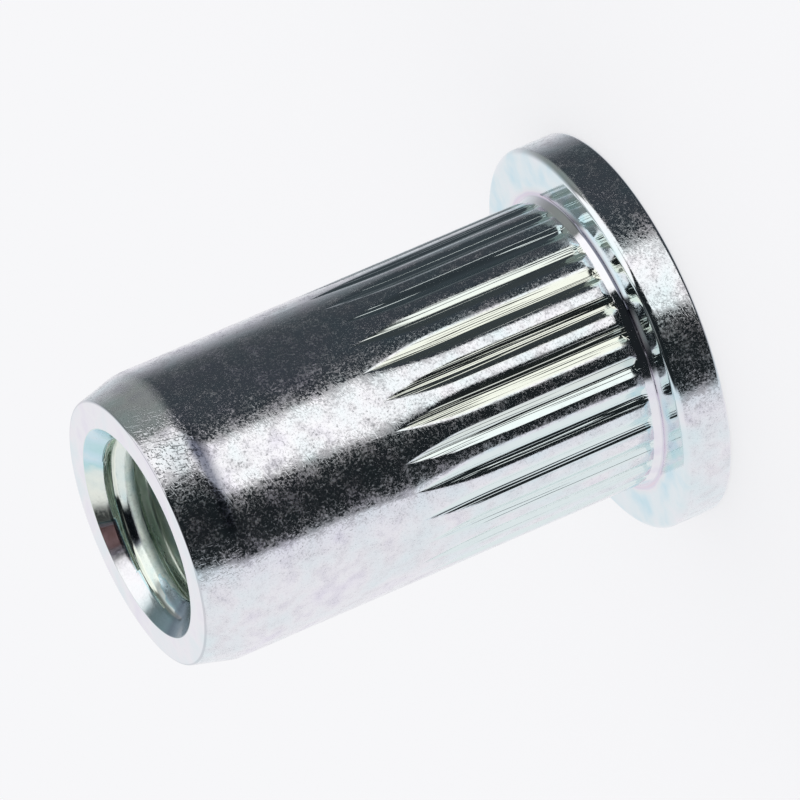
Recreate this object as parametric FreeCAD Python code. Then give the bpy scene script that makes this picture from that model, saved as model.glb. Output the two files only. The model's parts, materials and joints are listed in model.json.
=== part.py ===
import FreeCAD, Part
import math
import os

# Flat head, open end rivet nut with a grooved shank, formed from one piece of steel.
# It stands on its head: the origin is the middle of the head's outer face, and +Z runs along
# the axis to the threaded foot. All sizes are in millimetres and all angles in degrees.

# Head
head_dia = 12.0
head_thickness = 1.5
head_face_chamfer = 0.15
head_under_round = 0.2
head_mouth_chamfer = 0.25

# Shank
overall_length = 16.5
body_dia = 9.0
neck_cone_width = 0.13
neck_cone_height = 0.24
neck_cone_round = 0.1
neck_relief = 0.04
neck_flat = 0.02
land_bevel_length = 0.18
foot_face_dia = 8.3
foot_taper_length = 1.3
foot_taper_round = 1.2
foot_edge_chamfer = 0.08

# Bore: a clearance bore behind the head, whose wall folds when the nut is set, then the thread
clearance_bore_dia = 6.6
bore_step_angle = 60.0
thread_major_dia = 6.0
thread_pitch = 1.0
thread_zone_length = 7.1
mouth_over_thread = 0.54

# Grooves pressed along the shank, each with a steep end at the neck and a long run-out
groove_count = 29
groove_depth = 0.095
groove_flank_tilt = 18.0
groove_floor_round = 0.3
groove_length = 7.55
groove_end_overlap = 0.04
groove_end_tilt = 26.0
groove_runout_length = 2.0
tool_overcut = 0.3

# Worked out from the driving sizes
head_r = head_dia / 2
body_r = body_dia / 2
neck_r = body_r - neck_relief
foot_face_r = foot_face_dia / 2
clearance_bore_r = clearance_bore_dia / 2
basic_thread_height = 5 / 8 * thread_pitch * math.sin(math.radians(60))
thread_minor_r = thread_major_dia / 2 - basic_thread_height
thread_mouth_r = (thread_major_dia + mouth_over_thread) / 2
thread_inner_z = overall_length - thread_zone_length
neck_top_z = head_thickness + neck_cone_height
land_start_z = neck_top_z + neck_flat
groove_start_z = land_start_z - groove_end_overlap
groove_floor_r = body_r - groove_depth
groove_runout_z = groove_start_z + groove_length - groove_runout_length

axis_point = FreeCAD.Vector(0, 0, 0)
axis = FreeCAD.Vector(0, 0, 1)


def turned_section(corners):
    """Closed face in the XZ plane from (radius, height, rounding) corners, with tangent arcs."""
    points = [FreeCAD.Vector(radius, 0, height) for radius, height, rounding in corners]
    count = len(points)
    arc_starts = []
    arc_middles = []
    arc_ends = []
    for i, (radius, height, rounding) in enumerate(corners):
        back = (points[i - 1] - points[i]).normalize()
        ahead = (points[(i + 1) % count] - points[i]).normalize()
        half_angle = back.getAngle(ahead) / 2
        setback = rounding / math.tan(half_angle)
        arc_height = rounding / math.sin(half_angle) - rounding
        arc_starts.append(points[i] + back * setback)
        arc_middles.append(points[i] + (back + ahead).normalize() * arc_height)
        arc_ends.append(points[i] + ahead * setback)
    edges = []
    for i, (radius, height, rounding) in enumerate(corners):
        if rounding > 0:
            edges.append(Part.Arc(arc_starts[i], arc_middles[i], arc_ends[i]).toShape())
        edges.append(Part.LineSegment(arc_ends[i], arc_starts[(i + 1) % count]).toShape())
    return Part.Face(Part.Wire(edges))


def turned_blank():
    """The nut before its grooves are pressed: one ring section turned about the axis."""
    foot_slope = (body_r - foot_face_r) / foot_taper_length
    mouth_depth = thread_mouth_r - thread_minor_r
    step_length = (clearance_bore_r - thread_minor_r) / math.tan(math.radians(bore_step_angle))
    section = turned_section([
        (clearance_bore_r + head_mouth_chamfer, 0, 0),
        (head_r - head_face_chamfer, 0, 0),
        (head_r, head_face_chamfer, 0),
        (head_r, head_thickness, head_under_round),
        (neck_r + neck_cone_width, head_thickness, neck_cone_round),
        (neck_r, neck_top_z, 0),
        (neck_r, land_start_z, 0),
        (body_r, land_start_z + land_bevel_length, 0),
        (body_r, overall_length - foot_taper_length, foot_taper_round),
        (foot_face_r + foot_slope * foot_edge_chamfer, overall_length - foot_edge_chamfer, 0),
        (foot_face_r - foot_edge_chamfer, overall_length, 0),
        (thread_mouth_r, overall_length, 0),
        (thread_minor_r, overall_length - mouth_depth, 0),
        (thread_minor_r, thread_inner_z, 0),
        (clearance_bore_r, thread_inner_z - step_length, 0),
        (clearance_bore_r, head_mouth_chamfer, 0),
    ])
    return section.revolve(axis_point, axis, 360)


def groove_section(height):
    """Cross-section of one groove at a height: a round floor between two straight flanks."""
    tilt = math.radians(groove_flank_tilt)
    flank_x = groove_floor_r + groove_floor_round * (1 - math.cos(tilt))
    flank_y = groove_floor_round * math.sin(tilt)
    mouth_x = body_r + tool_overcut
    mouth_y = flank_y + (mouth_x - flank_x) / math.tan(tilt)
    floor = FreeCAD.Vector(groove_floor_r, 0, height)
    left_flank = FreeCAD.Vector(flank_x, -flank_y, height)
    right_flank = FreeCAD.Vector(flank_x, flank_y, height)
    left_mouth = FreeCAD.Vector(mouth_x, -mouth_y, height)
    right_mouth = FreeCAD.Vector(mouth_x, mouth_y, height)
    return Part.Face(Part.Wire([
        Part.Arc(left_flank, floor, right_flank).toShape(),
        Part.LineSegment(right_flank, right_mouth).toShape(),
        Part.LineSegment(right_mouth, left_mouth).toShape(),
        Part.LineSegment(left_mouth, left_flank).toShape(),
    ]))


def groove_end_block(half_width):
    """Block that a groove fills as far as its steep flat end, which reaches the neck's surface."""
    inner_x = groove_floor_r - tool_overcut
    outer_x = body_r + tool_overcut
    inner_z = groove_start_z + (neck_r - inner_x) / math.tan(math.radians(groove_end_tilt))
    side = Part.Face(Part.makePolygon([
        FreeCAD.Vector(inner_x, -half_width, inner_z),
        FreeCAD.Vector(neck_r, -half_width, groove_start_z),
        FreeCAD.Vector(outer_x, -half_width, groove_start_z),
        FreeCAD.Vector(outer_x, -half_width, groove_runout_z),
        FreeCAD.Vector(inner_x, -half_width, groove_runout_z),
        FreeCAD.Vector(inner_x, -half_width, inner_z),
    ]))
    return side.extrude(FreeCAD.Vector(0, 2 * half_width, 0))


def groove_tool():
    """Tool that presses one groove: flat ended at the neck, lifted slowly towards the foot."""
    section = groove_section(groove_runout_z)
    straight = section.extrude(FreeCAD.Vector(0, 0, -groove_length))
    straight = straight.common(groove_end_block(section.BoundBox.YLength))
    lift = FreeCAD.Vector(groove_depth, 0, groove_runout_length)
    runout = section.extrude(lift * (1 + tool_overcut / groove_depth))
    return straight.fuse(runout)


def pressed_grooves(blank):
    """The blank with a ring of grooves pressed into its shank."""
    tool = groove_tool()
    tools = []
    for i in range(groove_count):
        turned_tool = tool.copy()
        turned_tool.rotate(axis_point, axis, i * 360 / groove_count)
        tools.append(turned_tool)
    return blank.cut(tools)


os.makedirs("parts", exist_ok=True)
rivet_nut = pressed_grooves(turned_blank())
rivet_nut.exportStep("parts/rivet_nut.step")
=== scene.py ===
import json
import math
from types import SimpleNamespace

import bmesh
import bpy
import numpy as np
from mathutils import Matrix, Vector


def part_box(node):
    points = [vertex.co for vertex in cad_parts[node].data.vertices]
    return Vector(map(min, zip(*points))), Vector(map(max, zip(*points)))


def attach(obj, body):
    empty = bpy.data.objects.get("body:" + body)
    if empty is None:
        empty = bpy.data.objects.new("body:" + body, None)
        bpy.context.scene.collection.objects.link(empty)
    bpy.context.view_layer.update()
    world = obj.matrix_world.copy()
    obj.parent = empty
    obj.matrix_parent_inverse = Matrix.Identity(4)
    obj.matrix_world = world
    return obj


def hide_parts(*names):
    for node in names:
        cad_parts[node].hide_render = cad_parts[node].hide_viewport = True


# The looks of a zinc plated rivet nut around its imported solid: the whole nut as one finely divided
# mesh with its thread, its plating, a small photo studio and the camera.
# Lengths are in millimetres until a mesh or a camera is made. The angles named here are in degrees,
# but scratch_turns is in radians.

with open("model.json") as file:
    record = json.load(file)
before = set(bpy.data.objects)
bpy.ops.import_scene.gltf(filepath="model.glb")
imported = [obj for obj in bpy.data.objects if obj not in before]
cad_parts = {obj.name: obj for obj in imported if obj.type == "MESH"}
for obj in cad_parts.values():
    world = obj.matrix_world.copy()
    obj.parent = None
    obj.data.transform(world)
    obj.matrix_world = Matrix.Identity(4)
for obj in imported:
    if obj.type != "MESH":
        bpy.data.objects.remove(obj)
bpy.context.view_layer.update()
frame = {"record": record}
metres = 0.001

# Sizes from the frame
node_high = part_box("rivet_nut")[1]
mounts = {mount["name"]: mount for mount in frame["record"]["mounts"]}
head_r = node_high.x / metres
overall_length = node_high.z / metres
head_thickness = mounts["head_underside"]["pos_m"][2] / metres
body_r = mounts["shank"]["dims"]["r_mm"]
bore_r = mounts["head_bore"]["dims"]["r_mm"]
thread_minor_r = mounts["thread"]["dims"]["r_mm"]

# Turned form: the solid's, with small rounds at its edges
head_face_round = 0.12
head_under_round = 0.2
head_mouth_chamfer = 0.25
neck_cone_width = 0.13
neck_cone_height = 0.24
neck_cone_round = 0.1
neck_relief = 0.04
neck_flat = 0.02
land_bevel_length = 0.18
foot_face_r = 4.15
foot_taper_length = 1.3
foot_taper_round = 1.2
foot_edge_round = 0.06
soft_edge_round = 0.02
arc_step = 10.0
edge_support = 0.02
straight_share = 2.5

# Thread, which the solid leaves plain
thread_pitch = 1.0
thread_root_r = 2.9
thread_mouth_r = 3.27
thread_zone_length = 7.1
thread_crest_width = 0.355
thread_root_width = 0.3
thread_crest_bulge = 0.12
thread_phase = 0.19
thread_edge_softness = 0.014
bore_step_angle = 60.0
mouth_ring_depth = 0.05
mouth_ring_gap = 0.03
bore_ring_gap = 0.1

# Grooves pressed along the shank
groove_count = 29
groove_depth = 0.115
groove_half_angle = 4.9
groove_floor_share = 0.14
groove_shoulder_share = 0.3
groove_profile_steps = 200
groove_edge_share = 0.25
groove_end_tilt = 26.0
groove_length = 7.67
groove_end_overlap = 0.04
groove_runout_length = 2.0
groove_lift_easing = 0.4
groove_narrowing = 0.8
groove_thinnest = 0.004
groove_tip_scatter = 0.2
groove_depth_scatter = 0.12
groove_place_scatter = 0.3
groove_seed = 25302

# Mesh: its columns, as shares of a groove's half width and of the land between two grooves, and
# how near its rows may come to one another
groove_columns = (-1.0, -0.86, -0.72, -0.58, -0.4, -0.16, 0, 0.16, 0.4, 0.58, 0.72, 0.86, 1.0)
land_columns = (0.25, 0.5, 0.75)
underside_row_widths = (1.1, 0.75, 0.5, 0.32, 0.18)
underside_row_gap = 0.02
shank_row_gap = 0.004
neck_tolerance = 0.01
head_tolerance = 0.001
even_column_width = 1.0
even_column_heights = (0.3, 2.5)

# Plating: a skin of fine grains on low waves, with cloudy rougher patches and specks, lines drawn
# along the pressed grooves, hairline scratches, rings turned on the flat faces, a bluish painted
# shade at the foot's edge, the taper, the neck's corner and in the bore, and a thin film whose tint
# runs from green and straw through teal, blue and violet to red.
# A range is the part of a noise over which its effect goes from none to full.
noise_roughness = 0.6
smooth_roughness = 0.045
grain_size = 0.085
grain_height = 0.0005
grain_range = (0.42, 0.66)
grain_roughness = 0.17
wave_size = 0.3
wave_height = 0.003
cloud_size = 0.45
cloud_range = (0.44, 0.66)
cloud_roughness = 0.13
cloud_shade_range = (0.4, 0.7)
cloud_shade = 0.09
speck_size = 0.06
speck_range = (0.44, 0.72)
speck_shade = 0.07
speck_roughness = 0.2
bore_roughness = 0.25
crest_roughness = 0.6
mouth_roughness = 0.1
chalk_range = (0.3, 0.6)
chalk_least = 0.2
chalk_most = 0.75
drawn_line_width = 0.085
drawn_line_length = 9.0
drawn_line_height = 0.0055
drawn_line_range = (0.46, 0.58)
scratch_width = 0.05
scratch_length = 0.6
scratch_height = 0.014
scratch_range = (0.62, 0.76)
scratch_turns = ((0.5, 0.2, 0.3), (0.1, 0.4, -0.5))
turning_mark_width = 0.05
turning_mark_height = 0.0008
# The bluish dark of the specks and clouds, which is also the colour of the painted shade.
speck_and_painted_shade_colour = (0.08, 0.095, 0.15)
film_patch_size = 0.9
film_scatter = 0.15
film_colours = (
    (0.00, (0.40, 0.52, 0.42)),
    (0.10, (0.52, 0.62, 0.52)),
    (0.20, (0.86, 0.89, 0.80)),
    (0.30, (0.77, 0.85, 0.80)),
    (0.38, (0.50, 0.74, 0.76)),
    (0.46, (0.60, 0.79, 0.86)),
    (0.54, (0.77, 0.86, 0.88)),
    (0.64, (0.875, 0.87, 0.895)),
    (0.76, (0.80, 0.76, 0.87)),
    (0.88, (0.88, 0.75, 0.83)),
    (0.94, (0.75, 0.50, 0.52)),
    (1.00, (0.58, 0.34, 0.32)),
)
groove_warm_tint = (0.83, 0.86, 0.76)
groove_cool_tint = (0.79, 0.88, 0.87)

# Where the looks change over the nut. A fade is where a part's own look starts and where it is
# full: by the share of the surface's normal along the axis, by the distance from the thread's
# crest or root, or by the depth from the foot.
upright_fade = (0.55, 0.25)
level_fade = (0.9, 0.99)
crest_fade = (0.12, 0.04)
root_fade = (0.12, 0.02)
dull_bore_fade = (1.15, 1.5)
chalky_crest_fade = (1.8, 1.3)
bore_tolerance = 0.01
cone_tolerance = 0.003
mouth_zone_depth = 1.0
level_skin = 0.1
upright_skin = 0.9
groove_smoothing = 0.92
bore_skin = 0.3
crest_skin = 1.4
bore_film = 0.3
root_film_drop = 0.15
shank_scratches = 0.04
taper_margin = 0.1
# A thin dark line of painted shade along the foot's edge: its width and darkness.
foot_edge_shade_width = 0.03
foot_edge_painted_shade = 0.25
# A band of painted shadow where the taper meets the barrel: its height and soft edges.
taper_shade_place = 15.16
taper_shade_fade = (0.26, 0.104)
# Painted shade in the corner where the neck meets the head: its soft edge and how far up it reaches.
corner_shade_fade = (0.26, 0.1)
corner_shade_rise = 0.04
# Painted shade on the thread's flanks near the mouth reaches this deep from the foot.
flank_shade_depth = 1.2

# Pairs of a turn about the axis and the amount there
taper_scratch_stops = ((312, 0.1), (319, 1), (328, 1), (342, 0.15))
# How strong the taper's band of painted shadow is at each turn.
taper_shade_stops = ((283, 0), (291, 0.8), (325, 0.8), (335, 0))
# How dark the neck corner's painted shade is at each turn.
corner_shade_stops = ((250, 0.1), (290, 0.2), (300, 0.85), (340, 0.85), (350, 0.3), (400, 0.1))
# How dark the painted shade on the thread's flanks is at each turn.
flank_shade_stops = ((104, 0), (108, 0.8), (127, 0.8), (131, 0))
# How dark the painted shade on the root and the cone near the mouth is at each turn.
mouth_shade_stops = ((155, 0), (170, 0.3), (185, 0.45), (191, 0.75), (225, 0.65), (255, 0))
mouth_film_stops = (
    (31.6, 0.46), (46.6, 0.4), (66.6, 0.44), (81.6, 0.24), (104, 0.2), (108, 0.2), (111, 0.98),
    (117, 1.0), (123, 0.95), (128, 0.66), (146.6, 0.62), (164.6, 0.5), (191.6, 0.39),
)
groove_cool_stops = ((282, 1), (294, 0), (330, 0), (345, 1))

# Pairs of a distance along the outline, from where the neck meets the head, and the film there
# The film is the plating's own tint, but its rise near 0, at the neck's corner, paints a pinker
# reflection there.
outline_film_stops = (
    (-5, 0.55), (-2.9, 0.6), (-1.5, 0.6), (-1.25, 0.54), (-0.7, 0.52), (-0.35, 0.5), (-0.14, 0.6),
    (-0.04, 0.84), (0.04, 0.66), (0.3, 0.64), (0.6, 0.6), (6, 0.6), (9, 0.63), (13, 0.65),
    (14, 0.62), (15.0, 0.6), (15.2, 0.64), (16, 0.64),
)

# Camera. The photographed nut lies on its side, so the studio's up is given by the camera's height
# over the table, and not by the nut's axis.
camera_azimuth = -58.8
camera_elevation = 17.95
camera_roll = -113.18
camera_distance = 511.4
camera_lens = 784.0
aim_along_axis = 7.137
aim_sideways = 0.554
camera_nearest = 10.0
camera_farthest = 10000.0
camera_over_table = 39.8

# Photo studio, as the metal sees it in each direction: a table below, a dark room above it with a
# pale sweep behind, a softbox overhead, and a tall panel and a grey card to the left. Height, front
# and side are a direction's parts up, towards the camera and to its right. Each pair of numbers is
# where a soft edge starts and ends.
behind_edge = (-0.5, 0.2)
table_edge = (-0.14, -0.04)
table_edge_slant = 0.36
table_edge_behind = (-0.55, 0.3)
table_shade_heights = (-0.6, 0.0)
left_wall_edge = (-0.45, -0.15)
room_colour = (0.013, 0.016, 0.018)
wall_colour = (0.045, 0.054, 0.064)
left_wall_colour = (0.25, 0.27, 0.26)
table_colour = (0.90, 0.895, 0.92)
far_table_colour = (0.80, 0.82, 0.88)
lamp_level = 1.13
least_share = 0.05
softbox_turn = 16.0
softbox_across = ((-0.13, -0.07), (0.42, 0.49))
softbox_along = ((-1.3, -1.0), (1.4, 1.7))
softbox_base = (0.0, 0.1)
panel_swing = (-0.26, -0.16)
panel_slanted_edge = (0.34, 0.42)
panel_heights = ((-0.24, -0.16), (0.78, 0.88))
panel_side = (-0.3, -0.2)
card_level = 0.2
card_slanted_edge = (0.45, 0.8)
card_swing = (1.0, 1.3)
card_heights = ((-0.2, 0.0), (0.1, 0.3))
card_side = (-0.6, -0.5)
backdrop_level = 0.98
floor_colour = (0.95, 0.95, 0.965)
floor_glow_colour = (0.93, 0.93, 0.95)
floor_glow_share = 0.7
floor_half_width = 3000.0

# Worked out from the driving sizes
neck_r = body_r - neck_relief
neck_top_z = head_thickness + neck_cone_height
land_start_z = neck_top_z + neck_flat
groove_start_z = land_start_z - groove_end_overlap
groove_tip_z = groove_start_z + groove_length
groove_runout_z = groove_tip_z - groove_runout_length
groove_pitch = 2 * math.pi / groove_count
barrel_top_z = overall_length - foot_taper_length
thread_inner_z = overall_length - thread_zone_length
bore_step_slope = math.tan(math.radians(bore_step_angle))
bore_step_z = thread_inner_z - (bore_r - thread_minor_r) / bore_step_slope
mouth_ring_z = overall_length - mouth_ring_depth
mouth_ring_r = thread_mouth_r - mouth_ring_depth
shortest_straight = straight_share * edge_support

# Rows of the mesh along the shank: where they start, where they end and how many they are
shank_rows = (
    (groove_start_z - 0.01, groove_start_z + 0.26, 14),
    (groove_start_z + 0.4, groove_runout_z - 1.1, 4),
    (groove_runout_z - 0.9, groove_tip_z + groove_tip_scatter, 28),
    (groove_tip_z + 0.5, barrel_top_z - 0.5, 5),
)


def smooth_step(low_edge, high_edge, x):
    t = np.clip((x - low_edge) / (high_edge - low_edge), 0, 1)
    return t * t * (3 - 2 * t)


def corner_points(before, corner, after, rounding):
    """Arc points that round a corner of a meridian, with a close point on each straight side."""
    back = before - corner
    ahead = after - corner
    back_length = np.linalg.norm(back)
    ahead_length = np.linalg.norm(ahead)
    back = back / back_length
    ahead = ahead / ahead_length
    half_angle = math.acos(np.clip(back @ ahead, -1, 1)) / 2
    turn = math.pi - 2 * half_angle
    setback = rounding / math.tan(half_angle)
    middle = (back + ahead) / np.linalg.norm(back + ahead)
    centre = corner + middle * rounding / math.sin(half_angle)
    start = corner + back * setback - centre
    side = np.sign(back[1] * ahead[0] - back[0] * ahead[1])
    steps = max(2, math.ceil(math.degrees(turn) / arc_step))
    made = []
    if shortest_straight < back_length - setback:
        made.append(corner + back * (setback + edge_support))
    for k in range(steps + 1):
        angle = side * turn * k / steps
        cos, sin = math.cos(angle), math.sin(angle)
        made.append(centre + np.array([cos * start[0] - sin * start[1], sin * start[0] + cos * start[1]]))
    if shortest_straight < ahead_length - setback:
        made.append(corner + ahead * (setback + edge_support))
    return made


def outer_meridian():
    """Points (radius, height) from the bore's step out round the head and shank to the thread."""
    corners = [
        (bore_r, bore_step_z - bore_ring_gap, 0),
        (bore_r, head_mouth_chamfer, soft_edge_round),
        (bore_r + head_mouth_chamfer, 0, soft_edge_round),
        (head_r, 0, head_face_round),
        (head_r, head_thickness, head_under_round),
        (neck_r + neck_cone_width, head_thickness, neck_cone_round),
        (neck_r, neck_top_z, soft_edge_round),
        (neck_r, land_start_z, soft_edge_round),
        (body_r, land_start_z + land_bevel_length, soft_edge_round),
        (body_r, barrel_top_z, foot_taper_round),
        (foot_face_r, overall_length, foot_edge_round),
        (thread_mouth_r, overall_length, soft_edge_round),
        (mouth_ring_r + mouth_ring_gap, mouth_ring_z + mouth_ring_gap, 0),
    ]
    places = [np.array(corner[:2], float) for corner in corners]
    points = [places[0]]
    for i in range(1, len(corners) - 1):
        points += corner_points(places[i - 1], places[i], places[i + 1], corners[i][2])
    points.append(places[-1])
    return np.array(points)


def with_closer_rows(points):
    """The meridian with more points on the barrel for the grooves, and under the head for its tint."""
    heights = np.concatenate([np.linspace(*rows) for rows in shank_rows])
    radii = neck_r + neck_cone_width + np.array(underside_row_widths)
    made = [points[0]]
    for start, end in zip(points, points[1:]):
        if start[1] == end[1] == head_thickness:
            inside = (radii < start[0] - underside_row_gap) & (radii > end[0] + underside_row_gap)
            for radius in radii[inside]:
                made.append(np.array([radius, head_thickness]))
        if start[0] > neck_r - neck_tolerance and end[1] > start[1] > head_thickness:
            inside = (heights > start[1] + shank_row_gap) & (heights < end[1] - shank_row_gap)
            for height in heights[inside]:
                made.append(start + (end - start) * (height - start[1]) / (end[1] - start[1]))
        made.append(end)
    return np.array(made)


def groove_profile(share):
    """Depth of a groove's cross-section, from 1 on its floor to 0 at its shoulders."""
    places = np.linspace(0, 1, groove_profile_steps + 1)
    slopes = np.minimum(places / groove_floor_share, 1)
    slopes = slopes * np.clip((1 - places) / groove_shoulder_share, 0, 1)
    fallen = np.concatenate([[0], np.cumsum((slopes[1:] + slopes[:-1]) / 2)])
    return 1 - np.interp(abs(share), places, fallen / fallen[-1])


def eased_lift(share):
    """Rises in line with its share, and slows smoothly to 1 instead of stopping in a corner."""
    low = 1 - groove_lift_easing
    past = np.clip(share - low, 0, 2 * groove_lift_easing)
    return np.minimum(np.maximum(share, 0), low) + past - past ** 2 / (4 * groove_lift_easing)


def column_evenness(radius, height):
    """For each row, 0 where its columns follow the grooves and 1 where they are evenly spaced."""
    even_r = neck_r + even_column_width
    on_head = height < head_thickness + head_tolerance
    even = np.where(on_head, smooth_step(neck_r + neck_cone_width, even_r, radius), 0)
    even = np.where(np.arange(len(radius)) < np.argmax(radius), 1, even)
    low, high = even_column_heights
    return np.maximum(even, smooth_step(groove_tip_z + low, groove_tip_z + high, height))


def distance_from_neck(radius, height):
    """Distance along the outline from where the neck meets the head's underside."""
    steps = np.hypot(np.diff(radius), np.diff(height))
    along = np.concatenate([[0], np.cumsum(steps)])
    return along - along[np.argmin(np.hypot(radius - neck_r - neck_cone_width, height - head_thickness))]


def outer_surface():
    """Angles, radii, heights and groove shares of the outer mesh, one row for each meridian point."""
    meridian = with_closer_rows(outer_meridian())
    radius, height = meridian[:, 0], meridian[:, 1]
    rng = np.random.default_rng(groove_seed)
    tips = groove_tip_z + rng.uniform(-groove_tip_scatter, groove_tip_scatter, groove_count)
    depths = groove_depth * (1 + rng.uniform(-groove_depth_scatter, groove_depth_scatter, groove_count))
    shifts = rng.uniform(-groove_place_scatter, groove_place_scatter, groove_count)
    centres = groove_pitch * np.arange(groove_count) + np.radians(shifts)
    end_facet = neck_r - (height - groove_start_z) * math.tan(math.radians(groove_end_tilt))
    lifts = eased_lift((tips[:, None] - height) / groove_runout_length)
    widths = math.radians(groove_half_angle) * np.maximum(lifts, groove_thinnest) ** groove_narrowing
    angles, radii, pressed = [], [], []
    for i in range(groove_count):
        after = (i + 1) % groove_count
        next_start = centres[after] + 2 * math.pi * (after == 0) - widths[after]
        for share in groove_columns:
            floor = body_r - depths[i] * lifts[i] * groove_profile(share)
            cut = np.where(height > groove_start_z, np.maximum(floor, end_facet), radius)
            radii.append(np.minimum(radius, cut))
            angles.append(centres[i] + share * widths[i])
            pressed.append(smooth_step(0, groove_edge_share * groove_depth, radius - radii[-1]))
        for share in land_columns:
            radii.append(radius)
            start = centres[i] + widths[i]
            angles.append(start + (next_start - start) * share)
            pressed.append(0 * radius)
    columns = np.arange(len(angles)) - len(groove_columns) // 2
    even_angles = columns * groove_pitch / (len(groove_columns) + len(land_columns))
    evenness = column_evenness(radius, height)[:, None]
    angles = np.array(angles).T * (1 - evenness) + even_angles * evenness
    heights = np.repeat(height[:, None], len(columns), 1)
    along = np.repeat(distance_from_neck(radius, height)[:, None], len(columns), 1)
    return angles, np.array(radii).T, heights, np.array(pressed).T, along


def thread_surface(columns):
    """Angles, radii and heights of the bore's thread, in rows that climb with its helix."""
    crest = thread_crest_width / 2 / thread_pitch
    root = 0.5 - thread_root_width / 2 / thread_pitch
    soft = thread_edge_softness / thread_pitch
    flank = root - crest
    half = np.array([0, crest / 3, crest * 2 / 3, crest - soft / 2, crest + soft, crest + flank / 3,
                     crest + flank * 2 / 3, root - soft, root + 4 * soft, 0.5])
    turn_rows = np.concatenate([half, 1 - half[-2:0:-1]])
    first = math.floor((bore_step_z - mouth_ring_depth) / thread_pitch) - 2
    last = math.ceil(overall_length / thread_pitch) + 1
    rows = (np.arange(first, last)[:, None] + turn_rows).ravel()
    from_crest = np.abs(rows - np.round(rows))
    rise = np.clip((from_crest - crest) / flank, 0, 1)
    bulge = thread_crest_bulge * np.clip(from_crest / crest, 0, 1) ** 2
    flank_height = thread_root_r - thread_minor_r - thread_crest_bulge
    thread_r = (thread_minor_r + bulge + flank_height * rise)[:, None]
    angles = np.repeat(columns[None, :], len(rows), 0)
    heights = thread_pitch * (rows[:, None] + columns / (2 * math.pi) + thread_phase)
    thread_r = np.repeat(thread_r, len(columns), 1)
    heights, radii = cut_by_cones(heights, thread_r)
    return angles, radii, heights, len(turn_rows)


def cone_radius(heights):
    """Radius of the mouth's chamfer or of the bore's step, whichever is wider at a height."""
    mouth = thread_mouth_r - (overall_length - heights)
    step = thread_minor_r + (thread_inner_z - heights) * bore_step_slope
    return np.maximum(mouth, step)


def cut_by_cones(heights, radii):
    """Moves a row onto each crossing of thread and cone, and all rows past it onto the cone."""
    over = radii - cone_radius(heights)
    crossing = over[:-1] * over[1:] < 0
    for k, j in zip(*np.nonzero(crossing)):
        share = over[k, j] / (over[k, j] - over[k + 1, j])
        near = k if share < 0.5 else k + 1
        height = heights[k, j] + share * (heights[k + 1, j] - heights[k, j])
        radii[near, j] = radii[k, j] + share * (radii[k + 1, j] - radii[k, j])
        heights[near, j] = height
    heights = np.clip(heights, bore_step_z, mouth_ring_z)
    return heights, np.maximum(radii, cone_radius(heights))


def ring_faces(lower, upper):
    """Quads between two rings with as many vertices."""
    count = len(lower)
    return [(lower[j], lower[(j + 1) % count], upper[(j + 1) % count], upper[j]) for j in range(count)]


def halving_faces(fine, coarse):
    """Triangles between a ring and one with half as many vertices."""
    made = []
    for j in range(len(coarse)):
        after = (j + 1) % len(coarse)
        left, middle, right = fine[2 * j], fine[2 * j + 1], fine[(2 * j + 2) % len(fine)]
        made.append((coarse[j], left, middle))
        made.append((coarse[j], middle, coarse[after]))
        made.append((coarse[after], middle, right))
    return made


def thread_faces(index, rows_in_turn):
    """Faces of the helical grid. Its last column meets the first one a turn further on."""
    made = []
    row_count, column_count = index.shape
    for j in range(column_count):
        wraps = j == column_count - 1
        right = 0 if wraps else j + 1
        shift = rows_in_turn if wraps else 0
        for k in range(row_count - 1 - shift):
            face = (index[k, j], index[k + shift, right], index[k + 1 + shift, right], index[k + 1, j])
            face = tuple(dict.fromkeys(int(v) for v in face))
            if len(face) > 2:
                made.append(face)
    return made


def nut_mesh():
    """The whole nut as one closed mesh, with what its material needs to know at each vertex."""
    angles, radii, heights, pressed, along = outer_surface()
    row_count, column_count = angles.shape
    outer = np.arange(row_count * column_count).reshape(row_count, column_count)
    ring_angles = angles[-1, ::2]
    thread_angles, thread_radii, thread_heights, rows_in_turn = thread_surface(ring_angles)
    kept = (thread_heights > bore_step_z) & (thread_heights < mouth_ring_z)
    ones = np.ones(len(ring_angles))
    step_ring = outer.size + np.arange(len(ones))
    mouth_ring = step_ring + len(ones)
    index = np.where(thread_heights < mouth_ring_z, step_ring, mouth_ring)
    index[kept] = mouth_ring[-1] + 1 + np.arange(kept.sum())
    angle = np.concatenate([angles.ravel(), ring_angles, ring_angles, thread_angles[kept]])
    radius = np.concatenate([radii.ravel(), bore_r * ones, mouth_ring_r * ones, thread_radii[kept]])
    ring_heights = np.concatenate([bore_step_z * ones, mouth_ring_z * ones])
    height = np.concatenate([heights.ravel(), ring_heights, thread_heights[kept]])
    points = np.stack([radius * np.cos(angle), radius * np.sin(angle), height], 1) * metres
    faces = []
    for k in range(row_count - 1):
        faces += ring_faces(outer[k].tolist(), outer[k + 1].tolist())
    faces += halving_faces(outer[0].tolist(), step_ring.tolist())
    faces += halving_faces(outer[-1].tolist(), mouth_ring.tolist())
    faces += thread_faces(index, rows_in_turn)
    mesh = bpy.data.meshes.new("rivet_nut_surface")
    mesh.from_pydata(points.tolist(), [], faces)
    shape = bmesh.new()
    shape.from_mesh(mesh)
    bmesh.ops.recalc_face_normals(shape, faces=shape.faces)
    shape.to_mesh(mesh)
    shape.free()
    mesh.shade_smooth()
    paint_surface(mesh, surface_parts(mesh, angle, radius, height, pressed.ravel(), along.ravel()))
    return mesh


def by_turn(at, stops):
    """Amount at each vertex, from pairs of a turn about the axis and the amount there."""
    return np.interp(at.turn, *zip(*stops), period=360)


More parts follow.
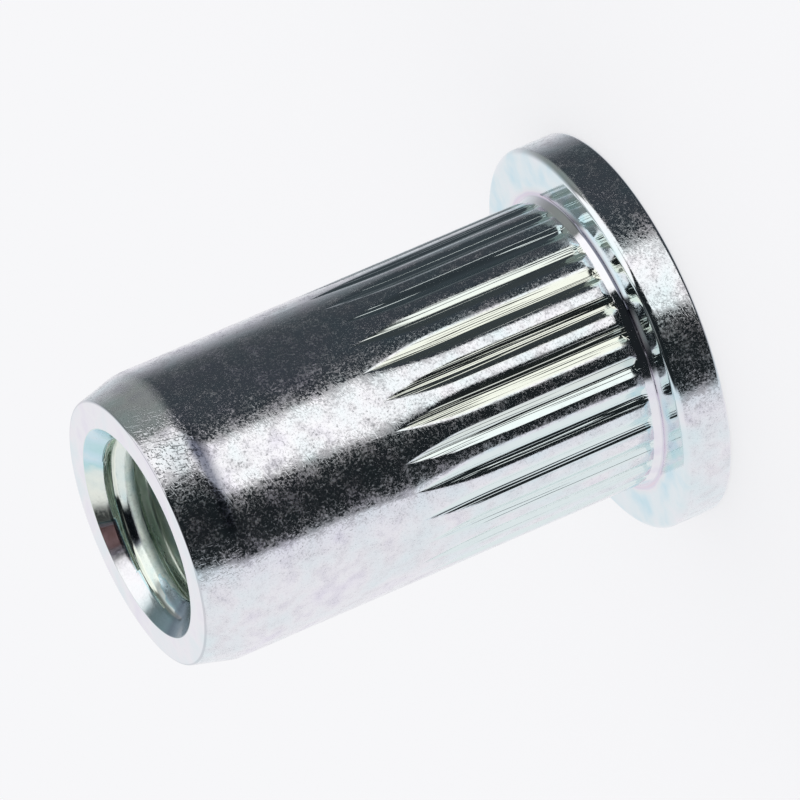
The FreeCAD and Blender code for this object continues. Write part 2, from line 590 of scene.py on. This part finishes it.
def surface_parts(mesh, angle, radius, height, pressed, along):
    """Where each vertex is, and on which part of the nut."""
    normals = np.zeros(len(mesh.vertices) * 3, np.float32)
    mesh.vertices.foreach_get("normal", normals)
    axis_share = np.abs(normals.reshape(-1, 3)[:, 2])
    bore_zeros = np.zeros(len(angle) - len(pressed))
    at = SimpleNamespace(turn=np.degrees(angle) % 360, radius=radius, height=height)
    at.depth = overall_length - height
    at.outside = np.arange(len(angle)) < len(pressed)
    at.groove = np.concatenate([pressed, bore_zeros])
    at.along = np.concatenate([along, bore_zeros])
    at.in_bore = radius < thread_mouth_r + bore_tolerance
    at.on_cone = at.in_bore & (radius < cone_radius(height) + cone_tolerance)
    at.upright = smooth_step(*upright_fade, axis_share)
    at.level = smooth_step(*level_fade, axis_share) * ~at.in_bore
    at.crest = smooth_step(*crest_fade, radius - thread_minor_r)
    at.root = smooth_step(*root_fade, thread_root_r - radius) * ~at.on_cone
    return at


def skin_amount(at):
    """How grainy the plating is: most on upright faces and on the thread's crest."""
    outer_skin = level_skin + upright_skin * at.upright * (1 - groove_smoothing * at.groove)
    return np.where(at.in_bore, bore_skin + crest_skin * at.crest, outer_skin)


def scratch_amount(at):
    on_taper = at.outside & (at.height > barrel_top_z - taper_margin)
    on_shank = shank_scratches * at.outside * (1 - at.groove)
    return at.upright * np.where(on_taper, by_turn(at, taper_scratch_stops), on_shank)


def film_thickness(at):
    film = np.where(at.outside, np.interp(at.along, *zip(*outline_film_stops)), bore_film)
    film = np.where(at.in_bore, bore_film - root_film_drop * at.root, film)
    in_mouth = at.on_cone & (at.depth < mouth_zone_depth)
    return np.where(in_mouth, by_turn(at, mouth_film_stops), film)


def painted_shade_amount(at):
    """Painted shade at the foot's edge, the taper, the neck's corner and the first turn of the thread."""
    # A thin dark line of painted shade along the foot's edge.
    from_edge = np.hypot(at.radius - foot_face_r, at.height - overall_length)
    stain = foot_edge_painted_shade * smooth_step(2 * foot_edge_shade_width, foot_edge_shade_width, from_edge)
    # A band of painted shadow where the taper meets the barrel.
    at_taper = smooth_step(*taper_shade_fade, np.abs(at.height - taper_shade_place))
    stain += at_taper * by_turn(at, taper_shade_stops)
    # Painted shade in the corner where the neck meets the head.
    from_corner = np.hypot(at.radius - neck_r - neck_cone_width, at.height - head_thickness)
    corner = smooth_step(*corner_shade_fade, from_corner)
    corner *= at.height < head_thickness + corner_shade_rise
    stain += corner * by_turn(at, corner_shade_stops)
    # Painted shade on the thread's flanks near the mouth.
    flank = (1 - at.root) * (1 - at.crest) * ~at.on_cone * (at.depth < flank_shade_depth)
    # Painted shade on the root and the cone near the mouth.
    near_mouth = np.maximum(at.root, at.on_cone) * (at.depth < mouth_zone_depth)
    bore_painted_shade = flank * by_turn(at, flank_shade_stops) + near_mouth * by_turn(at, mouth_shade_stops)
    return np.where(at.in_bore, bore_painted_shade, stain)


def dullness(at):
    """Roughness of the bore besides its skin's: on the crest, deep inside and on the mouth's cone."""
    inside = bore_roughness * smooth_step(*dull_bore_fade, at.depth)
    dull = np.maximum(crest_roughness * at.crest * ~at.on_cone, inside)
    in_mouth = at.on_cone & (at.depth < mouth_zone_depth)
    return np.where(in_mouth, mouth_roughness, dull) * at.in_bore


def paint_surface(mesh, at):
    """Stores the numbers that the plating reads at each vertex."""
    crest_near_mouth = at.crest * at.in_bore * ~at.on_cone * smooth_step(*chalky_crest_fade, at.depth)
    paint(mesh, "groove", at.groove)
    paint(mesh, "cool", by_turn(at, groove_cool_stops))
    paint(mesh, "dull", dullness(at))
    paint(mesh, "chalky", crest_near_mouth)
    paint(mesh, "skin", skin_amount(at))
    paint(mesh, "film", film_thickness(at))
    paint(mesh, "face", at.level)
    paint(mesh, "scratched", scratch_amount(at))
    # Painted shade at the foot's edge, the taper, the neck's corner and in the bore.
    paint(mesh, "stain", painted_shade_amount(at))


def paint(mesh, name, values):
    """Stores one number for each vertex, for the material to read."""
    mesh.attributes.new(name, "FLOAT", "POINT").data.foreach_set("value", values.astype(np.float32))


def camera_axes():
    """The camera's right, up and back directions, and a level one and a rising one beside them."""
    azimuth = math.radians(camera_azimuth)
    elevation = math.radians(camera_elevation)
    back = Vector((math.cos(azimuth) * math.cos(elevation), math.sin(azimuth) * math.cos(elevation),
                   math.sin(elevation)))
    level = Vector((-math.sin(azimuth), math.cos(azimuth), 0))
    rise = back.cross(level)
    roll = math.radians(camera_roll)
    right = level * math.cos(roll) + rise * math.sin(roll)
    up = rise * math.cos(roll) - level * math.sin(roll)
    return right, up, back, level, rise


def add_camera():
    right, up, back, level, rise = camera_axes()
    camera = bpy.data.objects.new("camera", bpy.data.cameras.new("camera"))
    bpy.context.scene.collection.objects.link(camera)
    aim = (rise * aim_along_axis + level * aim_sideways) * metres
    camera.matrix_world = Matrix.Translation(aim + back * camera_distance * metres) @ Matrix(
        (right, up, back)).transposed().to_4x4()
    camera.data.lens = camera_lens
    camera.data.clip_start = camera_nearest * metres
    camera.data.clip_end = camera_farthest * metres
    bpy.context.scene.camera = camera


def new_node(tree, kind, inputs=(), **settings):
    """A shader node with its settings, and with inputs given as numbers or as other sockets."""
    node = tree.nodes.new(kind)
    for name, setting in settings.items():
        setattr(node, name, setting)
    for key, value in dict(inputs).items():
        if isinstance(value, bpy.types.NodeSocket):
            tree.links.new(value, node.inputs[key])
        else:
            node.inputs[key].default_value = value
    return node


def calculate(tree, operation, *values):
    return new_node(tree, "ShaderNodeMath", dict(enumerate(values)), operation=operation).outputs[0]


def ramp(tree, value, start, end, low_value=0.0, high_value=1.0):
    """A smooth change from one number to another as a value goes from start to end."""
    node = new_node(tree, "ShaderNodeMapRange", {
        "Value": value, "From Min": start, "From Max": end, "To Min": low_value, "To Max": high_value,
    }, interpolation_type="SMOOTHSTEP")
    return node.outputs["Result"]


def blend_colour(tree, share, first, second):
    node = tree.nodes.new("ShaderNodeMix")
    node.data_type = "RGBA"
    sockets = [s for s in node.inputs if s.enabled]
    for socket, value in zip(sockets, (share, first, second)):
        if isinstance(value, bpy.types.NodeSocket):
            tree.links.new(value, socket)
        else:
            socket.default_value = value
    return [s for s in node.outputs if s.enabled][0]


def product(tree, *factors):
    result = factors[0]
    for factor in factors[1:]:
        result = calculate(tree, "MULTIPLY", result, factor)
    return result


def rising(tree, value, edge):
    """0 before a soft edge and 1 after it."""
    return ramp(tree, value, *edge)


def falling(tree, value, edge):
    """1 before a soft edge and 0 after it."""
    return ramp(tree, value, *edge, 1.0, 0.0)


def between(tree, value, edges):
    """1 from one soft edge to the next, and 0 outside them."""
    return product(tree, rising(tree, value, edges[0]), falling(tree, value, edges[1]))


def opaque(colour):
    return (*colour, 1)


def grey(level):
    return (level, level, level, 1)


def direction_parts(tree):
    """How far up, to the front and to the right of the studio a direction points."""
    right, up, back = camera_axes()[:3]
    tilt = math.radians(camera_over_table)
    studio_up = up * math.cos(tilt) + back * math.sin(tilt)
    studio_front = back * math.cos(tilt) - up * math.sin(tilt)
    direction = new_node(tree, "ShaderNodeTexCoord").outputs["Generated"]
    parts = []
    for axis in (studio_up, studio_front, right):
        node = new_node(tree, "ShaderNodeVectorMath", {0: direction, 1: axis}, operation="DOT_PRODUCT")
        parts.append(node.outputs["Value"])
    return parts


def table_and_room(tree, height, front, side):
    """Colour of the table, whose edge is sharp in front and a soft sweep behind, and of the room."""
    behind = falling(tree, front, behind_edge)
    to_left = calculate(tree, "MAXIMUM", product(tree, side, -1.0), 0.0)
    over_edge = calculate(tree, "MULTIPLY_ADD", to_left, table_edge_slant, height)
    table_behind = product(tree, behind, falling(tree, height, table_edge_behind))
    in_front = calculate(tree, "SUBTRACT", 1.0, behind)
    table_in_front = product(tree, in_front, falling(tree, over_edge, table_edge))
    table = calculate(tree, "ADD", table_behind, table_in_front)
    left = falling(tree, side, left_wall_edge)
    wall = blend_colour(tree, left, opaque(wall_colour), opaque(left_wall_colour))
    room = blend_colour(tree, behind, opaque(room_colour), wall)
    far = rising(tree, height, table_shade_heights)
    table_tint = blend_colour(tree, far, opaque(table_colour), opaque(far_table_colour))
    return blend_colour(tree, table, room, table_tint)


def softbox(tree, height, front, side):
    """Share of the oblong softbox overhead, which is turned a little about the studio's up."""
    over = calculate(tree, "MAXIMUM", height, least_share)
    right = calculate(tree, "DIVIDE", side, over)
    forward = calculate(tree, "DIVIDE", front, over)
    cos, sin = math.cos(math.radians(softbox_turn)), math.sin(math.radians(softbox_turn))
    along = calculate(tree, "ADD", product(tree, right, cos), product(tree, forward, sin))
    across = calculate(tree, "SUBTRACT", product(tree, forward, cos), product(tree, right, sin))
    return product(tree, between(tree, across, softbox_across), between(tree, along, softbox_along),
                   rising(tree, height, softbox_base))


def panel_and_card(tree, height, front, side):
    """Shares of the tall bright panel to the left and of the grey card beside it."""
    to_left = calculate(tree, "MAXIMUM", product(tree, side, -1.0), least_share)
    swing = calculate(tree, "DIVIDE", front, to_left)
    slanted = calculate(tree, "SUBTRACT", swing, height)
    panel = product(tree, rising(tree, swing, panel_swing), falling(tree, slanted, panel_slanted_edge),
                    between(tree, height, panel_heights), falling(tree, side, panel_side))
    card = product(tree, rising(tree, slanted, card_slanted_edge), falling(tree, swing, card_swing),
                   between(tree, height, card_heights), falling(tree, side, card_side))
    return panel, card


def add_world():
    """The studio that the metal reflects, and a plain pale backdrop for the camera."""
    world = bpy.data.worlds.new("studio")
    bpy.context.scene.world = world
    world.use_nodes = True
    tree = world.node_tree
    tree.nodes.clear()
    parts = direction_parts(tree)
    colour = table_and_room(tree, *parts)
    colour = blend_colour(tree, softbox(tree, *parts), colour, grey(lamp_level))
    panel, card = panel_and_card(tree, *parts)
    colour = blend_colour(tree, card, colour, grey(card_level))
    colour = blend_colour(tree, panel, colour, grey(lamp_level))
    rays = new_node(tree, "ShaderNodeLightPath")
    seen = blend_colour(tree, rays.outputs["Is Glossy Ray"], grey(backdrop_level), colour)
    background = new_node(tree, "ShaderNodeBackground", {"Color": seen, "Strength": 1.0})
    output = tree.nodes.new("ShaderNodeOutputWorld")
    tree.links.new(background.outputs[0], output.inputs["Surface"])
    world.cycles.sampling_method = "NONE"


def add_floor():
    """A pale floor that shows the nut's shadow to the camera, and isn't mirrored in the metal."""
    mesh = bpy.data.meshes.new("floor")
    half = floor_half_width * metres
    corners = [(-half, -half, 0), (half, -half, 0), (half, half, 0), (-half, half, 0)]
    mesh.from_pydata(corners, [], [(0, 1, 2, 3)])
    floor = bpy.data.objects.new("floor", mesh)
    bpy.context.scene.collection.objects.link(floor)
    material = bpy.data.materials.new("floor")
    material.use_nodes = True
    tree = material.node_tree
    shader = tree.nodes["Principled BSDF"]
    shader.inputs["Base Color"].default_value = opaque(floor_colour)
    shader.inputs["Roughness"].default_value = 1
    shader.inputs["Specular IOR Level"].default_value = 0
    glow = new_node(tree, "ShaderNodeEmission", {"Color": opaque(floor_glow_colour)})
    rays = new_node(tree, "ShaderNodeLightPath")
    share = product(tree, rays.outputs["Is Camera Ray"], floor_glow_share)
    mixed = new_node(tree, "ShaderNodeMixShader", {0: share, 1: shader.outputs[0], 2: glow.outputs[0]})
    tree.links.new(mixed.outputs[0], tree.nodes["Material Output"].inputs["Surface"])
    mesh.materials.append(material)
    floor.visible_glossy = False


def noise(tree, place, size, lengths=(1, 1, 1), turns=(0, 0, 0), **settings):
    """Noise with grains of one size in millimetres, stretched by a length along each axis."""
    if any(turns):
        place = new_node(tree, "ShaderNodeVectorRotate", {"Vector": place, "Rotation": turns},
                         rotation_type="EULER_XYZ").outputs[0]
    scale = [1 / (size * metres * length) for length in lengths]
    mapping = new_node(tree, "ShaderNodeMapping", {"Vector": place, "Scale": scale}, vector_type="POINT")
    inputs = {"Vector": mapping.outputs[0], "Scale": 1.0}
    inputs.update(settings)
    return new_node(tree, "ShaderNodeTexNoise", inputs).outputs["Fac"]


def attribute(tree, name):
    return new_node(tree, "ShaderNodeAttribute", attribute_name=name).outputs["Fac"]


def unrolled_place(tree, place):
    """The shank's surface as if each ring had the shank's radius, so that lines run along it."""
    level = new_node(tree, "ShaderNodeVectorMath", {0: place, 1: (1, 1, 0)}, operation="MULTIPLY")
    outward = new_node(tree, "ShaderNodeVectorMath", {0: level.outputs[0]}, operation="NORMALIZE")
    upward = new_node(tree, "ShaderNodeVectorMath", {0: place, 1: (0, 0, 1)}, operation="MULTIPLY")
    unrolled = new_node(tree, "ShaderNodeVectorMath", {
        0: outward.outputs[0], 1: (body_r * metres,) * 3, 2: upward.outputs[0],
    }, operation="MULTIPLY_ADD")
    return unrolled.outputs[0]


def drawn_lines(tree, place):
    """Fine lines that the tool draws along the pressed grooves."""
    lengths = (1, 1, drawn_line_length / drawn_line_width)
    lines = noise(tree, unrolled_place(tree, place), drawn_line_width, lengths, Detail=1.0)
    return ramp(tree, lines, *drawn_line_range)


def hairline_scratches(tree, place):
    """Short scratches in two slanting directions."""
    stretch = scratch_length / scratch_width
    upright = noise(tree, place, scratch_width, (1, 1, stretch), scratch_turns[0], Detail=0.0)
    level = noise(tree, place, scratch_width, (stretch, 1, 1), scratch_turns[1], Detail=0.0)
    return ramp(tree, calculate(tree, "MAXIMUM", upright, level), *scratch_range)


def turned_rings(tree, place):
    """Rings left by turning on the faces across the axis."""
    level = new_node(tree, "ShaderNodeVectorMath", {0: place, 1: (1, 1, 0)}, operation="MULTIPLY")
    from_axis = new_node(tree, "ShaderNodeVectorMath", {0: level.outputs[0]}, operation="LENGTH")
    rings = new_node(tree, "ShaderNodeTexNoise", {
        "W": from_axis.outputs["Value"], "Scale": 1 / (turning_mark_width * metres), "Detail": 1.0,
    }, noise_dimensions="1D")
    return rings.outputs["Fac"]


def plating_roughness(tree, painted, grains, clouds, dots):
    rough = product(tree, ramp(tree, grains, *grain_range), grain_roughness)
    rough = calculate(tree, "MULTIPLY_ADD", ramp(tree, clouds, *cloud_range), cloud_roughness, rough)
    rough = calculate(tree, "MULTIPLY_ADD", dots, speck_roughness, rough)
    rough = calculate(tree, "MULTIPLY_ADD", rough, painted.skin, smooth_roughness)
    return calculate(tree, "ADD", rough, painted.dull)


def plating_relief(tree, painted, place, grains):
    """The normal of the plated surface, from heights in millimetres."""
    waves = noise(tree, place, wave_size, Detail=1.0)
    height = product(tree, grains, grain_height)
    height = calculate(tree, "MULTIPLY_ADD", waves, wave_height, height)
    height = product(tree, painted.skin, height)
    lines = product(tree, painted.groove, drawn_lines(tree, place))
    height = calculate(tree, "MULTIPLY_ADD", lines, drawn_line_height, height)
    scratches = product(tree, painted.scratched, hairline_scratches(tree, place))
    height = calculate(tree, "MULTIPLY_ADD", scratches, -scratch_height, height)
    rings = product(tree, painted.face, turned_rings(tree, place))
    height = calculate(tree, "MULTIPLY_ADD", rings, turning_mark_height, height)
    bump = new_node(tree, "ShaderNodeBump", {"Height": height, "Distance": metres, "Strength": 1.0})
    return bump.outputs["Normal"]


def film_tint(tree, painted, place):
    """Tint of the thin film, by its painted thickness and a slow drift."""
    drift = noise(tree, place, film_patch_size, Detail=2.0)
    off_middle = calculate(tree, "SUBTRACT", drift, 0.5)
    thickness = calculate(tree, "MULTIPLY_ADD", off_middle, 2 * film_scatter, painted.film)
    tint = new_node(tree, "ShaderNodeValToRGB", {"Fac": thickness})
    stops = tint.color_ramp.elements
    for share, colour in film_colours[1:-1]:
        stops.new(share)
    for stop, (share, colour) in zip(stops, film_colours):
        stop.position = share
        stop.color = opaque(colour)
    return tint.outputs["Color"]


def plating_colour(tree, painted, place, clouds, dots):
    """The film's tint, the grooves' plainer one, the shade of clouds and specks, and the painted shade.
    """
    groove_tint = blend_colour(tree, painted.cool, opaque(groove_warm_tint), opaque(groove_cool_tint))
    tinted = blend_colour(tree, painted.groove, film_tint(tree, painted, place), groove_tint)
    shade = product(tree, ramp(tree, clouds, *cloud_shade_range), cloud_shade)
    shade = calculate(tree, "MULTIPLY_ADD", dots, speck_shade, shade)
    on_skin = calculate(tree, "MINIMUM", painted.skin, 1.0)
    # Darker and bluer by the random clouds and specks, and by the painted shade.
    specks_and_painted_shade = calculate(tree, "MULTIPLY_ADD", shade, on_skin, painted.stain)
    return blend_colour(tree, specks_and_painted_shade, tinted, opaque(speck_and_painted_shade_colour))


def plating_metal(tree, painted, grains):
    """Metal everywhere, but partly a pale matt powder on the worn crest near the mouth."""
    powder = ramp(tree, grains, *chalk_range, chalk_least, chalk_most)
    return calculate(tree, "SUBTRACT", 1.0, product(tree, painted.chalky, powder))


def plated_steel():
    material = bpy.data.materials.new("zinc_plating")
    material.use_nodes = True
    tree = material.node_tree
    place = new_node(tree, "ShaderNodeTexCoord").outputs["Object"]
    names = ("groove", "skin", "film", "face", "scratched", "stain", "cool", "dull", "chalky")
    painted = SimpleNamespace(**{name: attribute(tree, name) for name in names})
    grains = noise(tree, place, grain_size, Detail=3.0, Roughness=noise_roughness)
    clouds = noise(tree, place, cloud_size, Detail=3.0, Roughness=noise_roughness)
    specks = noise(tree, place, speck_size, Detail=2.0, Roughness=noise_roughness)
    dots = ramp(tree, specks, *speck_range)
    sockets = {
        "Roughness": plating_roughness(tree, painted, grains, clouds, dots),
        "Normal": plating_relief(tree, painted, place, grains),
        "Base Color": plating_colour(tree, painted, place, clouds, dots),
        "Metallic": plating_metal(tree, painted, grains),
    }
    for name, socket in sockets.items():
        tree.links.new(socket, tree.nodes["Principled BSDF"].inputs[name])
    return material


nut = bpy.data.objects.new("plated_nut", nut_mesh())
bpy.context.scene.collection.objects.link(nut)
nut.data.materials.append(plated_steel())
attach(nut, "root")
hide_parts("rivet_nut")

add_floor()
add_world()
add_camera()
bpy.context.scene.view_settings.view_transform = "Standard"
